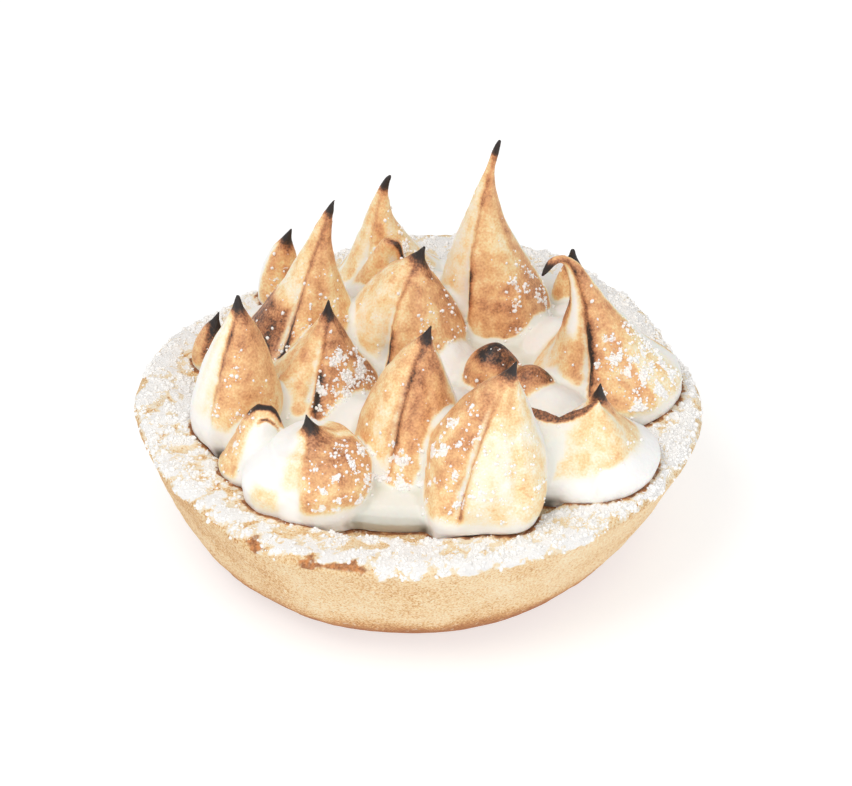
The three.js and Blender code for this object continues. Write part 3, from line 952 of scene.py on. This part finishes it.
bpy.data.objects.remove(blank)
select_only(bed, *pulled)
bpy.ops.object.join()
meringue = bed
meringue.name = meringue.data.name = "meringue_topping"
meringue.data.use_remesh_preserve_attributes = True
meringue.data.remesh_voxel_size = FUSE_GRID
select_only(meringue)
bpy.ops.object.voxel_remesh()
counted(meringue)


# %% [markdown]
# Where two spoonfuls meet, real meringue has flowed together, so the sharp valleys are smoothed out.
# A point lies in a valley when its neighbours are, on average, on the outer side of it.  The folds are
# left out of this smoothing, because they are what shows how the meringue was pulled.

# %% Averaging over neighbours
def edges_of(piece):
    ends = np.empty(len(piece.data.edges) * 2, dtype=np.int64)
    piece.data.edges.foreach_get("vertices", ends)
    return ends.reshape(-1, 2)


def neighbour_mean(columns, ends):
    """The mean over each point's neighbours, column by column."""
    total = np.zeros_like(columns)
    count = np.bincount(ends.ravel(), minlength=len(columns)).astype(float)
    for one, other in ((0, 1), (1, 0)):
        for column in range(columns.shape[1]):
            reached = columns[ends[:, other], column]
            total[:, column] += np.bincount(ends[:, one], reached, minlength=len(columns))
    return total / np.maximum(count, 1)[:, None]


def blurred(values, ends, rounds, kept=0.0):
    """Values averaged with their neighbours' over and over, each point keeping some of its own."""
    columns = values.reshape(len(values), -1).astype(float)
    for _ in range(rounds):
        columns = kept * columns + (1 - kept) * neighbour_mean(columns, ends)
    return columns.reshape(values.shape)


def hollow(piece, ends, rounds):
    """How far each point lies below its neighbourhood, in metres."""
    places = places_of(piece)
    return np.einsum("ij,ij->i", blurred(places, ends, rounds) - places, normals_of(piece))


# %% Softening the valleys
BLUR_ROUNDS = {"toast": 6, "char": 2, "crease": 2, "dust": 4, "low_lying": 12}
BLUR_KEPT = 0.3
VALLEY_DEPTHS = (0.02 * MM, 0.14 * MM)
VALLEY_PASSES = 3
MERINGUE_TRIANGLES = 216000  # before the part inside the case is cut away

meringue_ends = edges_of(meringue)
for kind, rounds in BLUR_ROUNDS.items():
    keep_on_points(meringue, kind, blurred(read_points(meringue, kind), meringue_ends, rounds, BLUR_KEPT))
off_folds = 1 - np.clip(read_points(meringue, "crease") * 2, 0, 1)
for _ in range(VALLEY_PASSES):
    meringue.vertex_groups.clear()
    as_group(meringue, "valley", ease(hollow(meringue, meringue_ends, 9), *VALLEY_DEPTHS) * off_folds)
    finish_with(meringue, "SMOOTH", factor=0.6, iterations=40, vertex_group="valley")
finish_with(meringue, "SMOOTH", factor=0.5, iterations=2)
finish_with(meringue, "DECIMATE", ratio=MERINGUE_TRIANGLES / triangles_of(meringue))
lumps(meringue, 7 * MM, 0.8 * MM)
lumps(meringue, 1.6 * MM, 0.12 * MM)


# %% [markdown]
# The meringue must not sink into the pastry.  A copy of the case, a little larger, is cut from it, and
# the slivers along the cut are merged away.

# %% Resting the meringue on the case
MERINGUE_CLEAR = 0.1 * MM
SLIVER = 0.02 * MM
CUTTER_STEP, CUTTER_SIDES = 2 * MM, 96

cutter = thrown("cutter", base_rings[:1] + case_rings(MERINGUE_CLEAR, CUTTER_STEP), CUTTER_SIDES)
push_out_of_round(cutter)
finish_with(meringue, "BOOLEAN", operation="DIFFERENCE", solver="MANIFOLD", object=cutter)
bpy.data.objects.remove(cutter)
select_only(meringue)
bpy.ops.object.mode_set(mode="EDIT")
bpy.ops.mesh.select_all(action="SELECT")
bpy.ops.mesh.remove_doubles(threshold=SLIVER)
bpy.ops.object.mode_set(mode="OBJECT")
meringue.vertex_groups.clear()
counted(meringue)


# %% [markdown]
# White meringue stays white only where light reaches it.  Between the peaks grey shade is painted on, the
# more so the lower and the more hollow it lies, and the finish is told where that is.

# %% Valleys and sunken places
meringue_ends = edges_of(meringue)
hollows = ease(hollow(meringue, meringue_ends, 40), 0.05 * MM, 0.5 * MM)
above_foot = places_of(meringue)[:, 2] - BED_FOOT
low_bed = read_points(meringue, "low_lying") * ease(above_foot, 1.1 * BED_CROWN, 0.35 * BED_CROWN)
keep_on_points(meringue, "valley", hollows)
# Painted shade: how much darker grey a sunken, hollow place on the bed gets.
keep_on_points(meringue, "sunk", ease(low_bed, 0.3, 1) * (0.45 + 0.55 * hollows))
print("points in valleys:", int((hollows > 0.5).sum()))


# %% [markdown]
# Where two spoonfuls stand side by side at the rim, the corner between them is painted dark as shade.  A few
# level rays are sent out from each point along the foot, and the more of them meet meringue again, the darker
# the painted shade is.

# %% Painted shade in the corners along the foot
CORNER_TALL = 3.5 * MM
CORNER_REACH = 3.5 * MM
CORNER_RAYS = (-75, -45, 45, 75)  # degrees from straight out
STEEP_ENOUGH = 0.3  # a point whose normal leans out less than this is left out

topping = BVHTree.FromObject(meringue, bpy.context.evaluated_depsgraph_get())
meringue_places, meringue_normals = places_of(meringue), normals_of(meringue)
closed_in = np.zeros(len(meringue_places))
for number in np.flatnonzero(above_foot < CORNER_TALL):
    straight_out = Vector((*meringue_normals[number, :2], 0))
    if straight_out.length < STEEP_ENOUGH:
        continue
    start = Vector(meringue_places[number]) + straight_out * 0.1 * MM
    for degrees in CORNER_RAYS:
        ray = Matrix.Rotation(math.radians(degrees), 3, "Z") @ straight_out
        closed_in[number] += topping.ray_cast(start, ray, CORNER_REACH)[0] is not None
closed_in = blurred(closed_in / len(CORNER_RAYS), meringue_ends, 2)
near_bottom = ease(above_foot, CORNER_TALL, 0.3 * CORNER_TALL)
keep_on_points(meringue, "corner", ease(closed_in, 0.05, 0.4) * near_bottom)
print("points in dark corners:", int((closed_in > 0.35).sum()))


# %% [markdown]
# Along its foot the meringue wept a little, and that baked into a thin brown line on the pastry, whose
# darkest core right at the foot is painted shade.  It has no sugar on it, because the meringue's edge hangs
# over it.

# %% The line along the meringue's foot
FOOT_LINE = (0.4 * MM, 1.25 * MM)  # how far from the meringue the line is full, and where it ends
FOOT_LOWEST, FOOT_INNERMOST = 20 * MM, 25 * MM  # only the top of the case, near its edge, can have it
LOOK_AWAY = 4 * MM

case_places = places_of(pastry_case)
from_middle = np.hypot(case_places[:, 0], case_places[:, 1])
near_foot = np.zeros(len(case_places))
for number in np.flatnonzero((case_places[:, 2] > FOOT_LOWEST) & (from_middle > FOOT_INNERMOST)):
    away = topping.find_nearest(Vector(case_places[number]), LOOK_AWAY)[3]
    near_foot[number] = 0 if away is None else ease(away, FOOT_LINE[1], FOOT_LINE[0])
near_foot = np.clip(near_foot * (1 + 0.5 * cloud(case_places, 1.5 * MM, seed=9)), 0, 1)
keep_on_points(pastry_case, "foot_line", near_foot)
keep_on_points(pastry_case, "caramel", np.maximum(caramel, near_foot))
keep_on_points(pastry_case, "sugar", sugared * (1 - near_foot))
print("points on the foot line:", int((near_foot > 0.5).sum()))


# %% [markdown]
# ## Icing sugar
#
# Sugar falls through a sieve, clumps, and lies on whatever faces up.  Each grain is a small faceted
# ball, modelled once and copied, turned, squashed and half sunk where it lies.  All the grains of a
# piece are one mesh, because thousands of objects would be slow.

# %% One grain
select_none()
bpy.ops.mesh.primitive_ico_sphere_add(subdivisions=1, radius=1)
grain = bpy.context.object
grain_places = places_of(grain)
grain_faces = np.array([face.vertices[:] for face in grain.data.polygons])
bpy.data.objects.remove(grain)
print("grain:", len(grain_faces), "faces")


# %% Scattering
def turns(draw, count):
    """Random turns, one matrix each."""
    q = draw.normal(size=(count, 4))
    q /= np.linalg.norm(q, axis=1)[:, None]
    w, x, y, z = q.T
    rows = [1 - 2 * (y * y + z * z), 2 * (x * y - z * w), 2 * (x * z + y * w),
            2 * (x * y + z * w), 1 - 2 * (x * x + z * z), 2 * (y * z - x * w),
            2 * (x * z - y * w), 2 * (y * z + x * w), 1 - 2 * (x * x + y * y)]
    return np.stack(rows, axis=1).reshape(-1, 3, 3)


def scattered(name, places, sizes, draw):
    """One piece that holds a grain of each size at each place."""
    count = len(places)
    shapes = grain_places * draw.uniform(0.75, 1.2, (count, len(grain_places), 1))
    shapes = shapes * draw.uniform(0.7, 1.25, (count, 1, 3))
    points = np.einsum("nij,nkj->nki", turns(draw, count), shapes) * sizes[:, None, None] + places[:, None, :]
    faces = grain_faces + (np.arange(count) * len(grain_places))[:, None, None]
    mesh = bpy.data.meshes.new(name)
    mesh.from_pydata(points.reshape(-1, 3), [], faces.reshape(-1, 3))
    mesh.update()
    piece = bpy.data.objects.new(name, mesh)
    bpy.context.collection.objects.link(piece)
    counted(piece)
    return piece


def spots_on(piece, weights, count, draw):
    """Random places on a piece's faces, denser where the points' weights are higher, with their normals."""
    piece.data.calc_loop_triangles()
    corners = np.empty(len(piece.data.loop_triangles) * 3, dtype=np.int64)
    piece.data.loop_triangles.foreach_get("vertices", corners)
    corners = corners.reshape(-1, 3)
    a, b, c = (places_of(piece)[corners[:, k]] for k in range(3))
    normal = np.cross(b - a, c - a)
    area = np.linalg.norm(normal, axis=1)
    wanted = area * weights[corners].mean(axis=1)
    chosen = draw.choice(len(corners), size=count, p=wanted / wanted.sum())
    u, v = draw.random((2, count, 1))
    flip = (u + v) > 1
    u, v = np.where(flip, 1 - u, u), np.where(flip, 1 - v, v)
    spots = a[chosen] + u * (b - a)[chosen] + v * (c - a)[chosen]
    return spots, normal[chosen] / np.maximum(area[chosen], 1e-12)[:, None]


def grain_sizes(smallest, largest, power, count, draw):
    """Mostly small grains, the more so the higher the power."""
    return smallest + (largest - smallest) * draw.random(count) ** power


# %% [markdown]
# On the rim the sugar lies thick, in drifts, and least in the pits of the crumb.  A grain that would
# touch the meringue is left out.

# %% Sugar on the rim
RIM_GRAINS = 6500
RIM_GRAIN_SIZE = (0.12 * MM, 0.5 * MM)

draw = np.random.default_rng(11)
facing_up = np.clip(normals_of(pastry_case)[:, 2] + 0.35, 0, 1)
pits = ease(hollow(pastry_case, edges_of(pastry_case), 12), -0.06 * MM, 0.12 * MM)
keep_on_points(pastry_case, "pits", pits)
drift = ease(cloud(case_places, 4 * MM, seed=3), -0.5, 0.5)
weights = read_points(pastry_case, "sugar") ** 2 * facing_up * (0.25 + drift) * (1.1 - pits)
spots, outward = spots_on(pastry_case, weights, RIM_GRAINS, draw)
sizes = grain_sizes(*RIM_GRAIN_SIZE, power=3, count=RIM_GRAINS, draw=draw)
clear = np.array([topping.find_nearest(Vector(spot), 1.6 * size)[0] is None
                  for spot, size in zip(spots, sizes)])
sugar_on_rim = scattered("sugar_on_rim", (spots + outward * 0.15 * sizes[:, None])[clear], sizes[clear], draw)


# %% [markdown]
# On the peaks it clings in heaps to the sides that faced the sieve.  It isn't seen where the flame
# burnt the tips.

# %% Sugar on the meringue
PEAK_GRAINS = 2600
PEAK_GRAIN_SIZE = (0.1 * MM, 0.42 * MM)
SIEVE_FROM = (0.35, -0.35, 0.85)

facing_sieve = np.clip(meringue_normals @ np.array(SIEVE_FROM), 0, 1)
heaps = ease(cloud(meringue_places, 2.2 * MM, seed=5), 0.1, 0.5)
dust = read_points(meringue, "dust")
keep_on_points(meringue, "dust", dust * heaps)
weights = (dust + 0.03 * (read_points(meringue, "toast") > 0.3)) * facing_sieve * (0.06 + heaps)
weights *= read_points(meringue, "char") < 0.1
spots, outward = spots_on(meringue, weights, PEAK_GRAINS, draw)
sizes = grain_sizes(*PEAK_GRAIN_SIZE, power=2, count=PEAK_GRAINS, draw=draw)
sugar_on_meringue = scattered("sugar_on_meringue", spots + outward * 0.2 * sizes[:, None], sizes, draw)


# %% [markdown]
# ## Finishes
#
# The meringue's colour is one ramp from white through cream and gold to burnt black.  Each point has
# kept how much it was toasted, and noise breaks that up.

# %% Meringue finish
TOAST_COLOURS = [
    (0.0, srgb(253, 252, 250)), (0.14, srgb(252, 248, 238)), (0.28, srgb(251, 238, 208)),
    (0.42, srgb(247, 217, 163)), (0.54, srgb(238, 189, 134)), (0.67, srgb(218, 158, 110)),
    (0.82, srgb(168, 110, 74)), (0.93, srgb(92, 64, 48)), (1.0, srgb(42, 34, 32)),
]
# Painted shade: the greys laid over the meringue in valleys, sunken places and corners.
VALLEY_PAINTED_SHADE, SUNKEN_PAINTED_SHADE, CORNER_PAINTED_SHADE = srgb(222, 221, 208), srgb(158, 160, 148), srgb(84, 80, 70)
SUGAR_DUST = srgb(253, 251, 250)

meringue_finish = Finish("browned_meringue", Roughness=0.55, Subsurface_Weight=0.12, Subsurface_Scale=0.002)
creases = meringue_finish.points("crease")
valleys = meringue_finish.points("valley") * (1 - creases * 1.5).clamped()
browned = meringue_finish.points("toast") * (1 - valleys)
mottle = meringue_finish.uneven(2.4 * MM, 0.6, detail=3)
speckle = meringue_finish.uneven(0.4 * MM, 0.4)
heat = browned + browned.step(0.04, 0.4) * (mottle + speckle)
# Along the folds the toast is darker: browning, with painted shade laid in the groove and beside it.
heat = heat + creases * 0.6 * browned.step(0.05, 0.3)
charred = (meringue_finish.points("char") * 1.2 + speckle).step(0.1, 1)
heat = heat.clamped() * (1 - charred) + charred
colour = meringue_finish.ramp(heat, TOAST_COLOURS)
# Painted shade: grey over the white in the valleys and on the low bed, darker still in sunken places.
shade = (valleys * 0.5 + meringue_finish.points("low_lying") * 0.6 * (1 - browned)).clamped()
colour = meringue_finish.blend(shade, colour, VALLEY_PAINTED_SHADE)
colour = meringue_finish.blend(meringue_finish.points("sunk"), colour, SUNKEN_PAINTED_SHADE)
# Painted shade: near black in the corners between spoonfuls along the foot.
colour = meringue_finish.blend(meringue_finish.points("corner") * 0.85, colour, CORNER_PAINTED_SHADE)
dusted = (meringue_finish.points("dust") + meringue_finish.uneven(0.7 * MM, 1.1, detail=3)).step(0.35, 0.6)
meringue_finish.feed("Base Color", meringue_finish.blend(dusted * 0.85, colour, SUGAR_DUST))
meringue_finish.bump(meringue_finish.grain(0.8 * MM, 3), 0.12 * MM)
meringue.data.materials.clear()
meringue.data.materials.append(meringue_finish.material)
print(meringue_finish.material.name, "nodes:", len(meringue_finish.tree.nodes))


# %% [markdown]
# The pastry is pale gold and sandy, darker in the crumb's pits, and brown where juice ran or wept, with
# painted shade darkest along the meringue's foot.  One way to show sugar on it would be a white layer of its
# own, but so thin a layer is only a colour.

# %% Baked pastry
PASTRY_COLOURS = [
    (0.1, srgb(176, 112, 66)), (0.3, srgb(214, 156, 98)), (0.42, srgb(241, 203, 149)),
    (0.54, srgb(250, 225, 183)), (0.68, srgb(253, 238, 208)),
]
# The last of these colours is painted shade, for the dark core of the line along the meringue's foot.
DARK_JUICE, LIGHT_JUICE, FOOT_SHADE_BROWN = srgb(150, 82, 44), srgb(214, 132, 66), srgb(112, 72, 50)

pastry_finish = Finish("short_pastry", Roughness=0.8)
sand = pastry_finish.uneven(0.4 * MM, 1.7, detail=3, rough=0.7) + 0.5
patches = pastry_finish.grain(9 * MM)
tone = sand * 0.65 + patches * 0.35 - pastry_finish.points("more_baked") * 0.52
baked = pastry_finish.ramp(tone, PASTRY_COLOURS)
juice = pastry_finish.blend(pastry_finish.grain(0.8 * MM, 3).step(0.35, 0.65), DARK_JUICE, LIGHT_JUICE)
juicy = (pastry_finish.points("caramel") + (patches - 0.5) * 0.5).step(0.3, 0.8)
baked = pastry_finish.blend(juicy * 0.85, baked, juice)
# Painted shade: the darkest core of the foot line, where the meringue meets the pastry.
baked = pastry_finish.blend(pastry_finish.points("foot_line").step(0.6, 1) * 0.6, baked, FOOT_SHADE_BROWN)


# %% [markdown]
# The sugar lies on the lumps and lets the pastry show in the pits between them, and where it has dried
# it is crossed by wavy seams.  Around its thick white patches there is a thin veil.

# %% Sugar on the pastry
VEIL, THICK_SUGAR = srgb(253, 240, 214), srgb(255, 253, 251)
SEAM_WAVE, SEAM_WAVE_LONG, SEAM_SIZE = 2.4 * MM, 2 * MM, 2.6 * MM

sugar = pastry_finish.points("sugar")
scarce = ((pastry_finish.grain(6 * MM) - 0.42) * 2.2).clamped()
lying = sugar * (1.23 - pastry_finish.points("pits") * 0.9 - scarce)
wave = pastry_finish.node("ShaderNodeTexNoise", output="Color",
                          inputs={"Vector": pastry_finish.place(), "Scale": 1 / SEAM_WAVE_LONG})
wavy_place = pastry_finish.node("ShaderNodeVectorMath", {"operation": "MULTIPLY_ADD"},
                                {0: wave, 1: (SEAM_WAVE, SEAM_WAVE, SEAM_WAVE), 2: pastry_finish.place()})
to_seam = pastry_finish.node("ShaderNodeTexVoronoi", {"feature": "DISTANCE_TO_EDGE"},
                             {"Vector": wavy_place, "Scale": 1 / SEAM_SIZE})
seams = (1 - to_seam.step(0.02, 0.2)) * pastry_finish.grain(5 * MM, 1).step(0.35, 0.55)
powder = lying - seams * 0.5 + pastry_finish.uneven(1.1 * MM, 1.6, detail=4, rough=0.6)
veiled = pastry_finish.blend((powder + sugar * 0.35).step(0.05, 0.45) * 0.8, baked, VEIL)
pastry_finish.feed("Base Color", pastry_finish.blend(powder.step(0.35, 0.7), veiled, THICK_SUGAR))
pastry_finish.bump(sand, 0.22 * MM)
pastry_case.data.materials.append(pastry_finish.material)
print(pastry_finish.material.name, "nodes:", len(pastry_finish.tree.nodes))

# %% Sugar finish
DULL_SUGAR, BRIGHT_SUGAR = srgb(250, 247, 243), srgb(255, 255, 255)

sugar_finish = Finish("icing_sugar", Roughness=0.85)
sugar_finish.feed("Base Color", sugar_finish.blend(sugar_finish.grain(1.5 * MM), DULL_SUGAR, BRIGHT_SUGAR))
for piece in (sugar_on_rim, sugar_on_meringue):
    piece.data.materials.append(sugar_finish.material)


# %% [markdown]
# ## Onto the frame
#
# Every piece is shaded smooth and rides on the pie's one body, and the imported crust and meringue are
# hidden.

# %% Smoothing, riding and replacing
for piece, slot in ((pastry_case, "pastry"), (meringue, "meringue"), (sugar_on_rim, "icing_sugar"),
                    (sugar_on_meringue, "icing_sugar")):
    select_only(piece)
    bpy.ops.object.shade_smooth()
    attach(piece, "root")
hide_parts("crust")
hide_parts("crust")
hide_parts("meringue")
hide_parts("meringue")
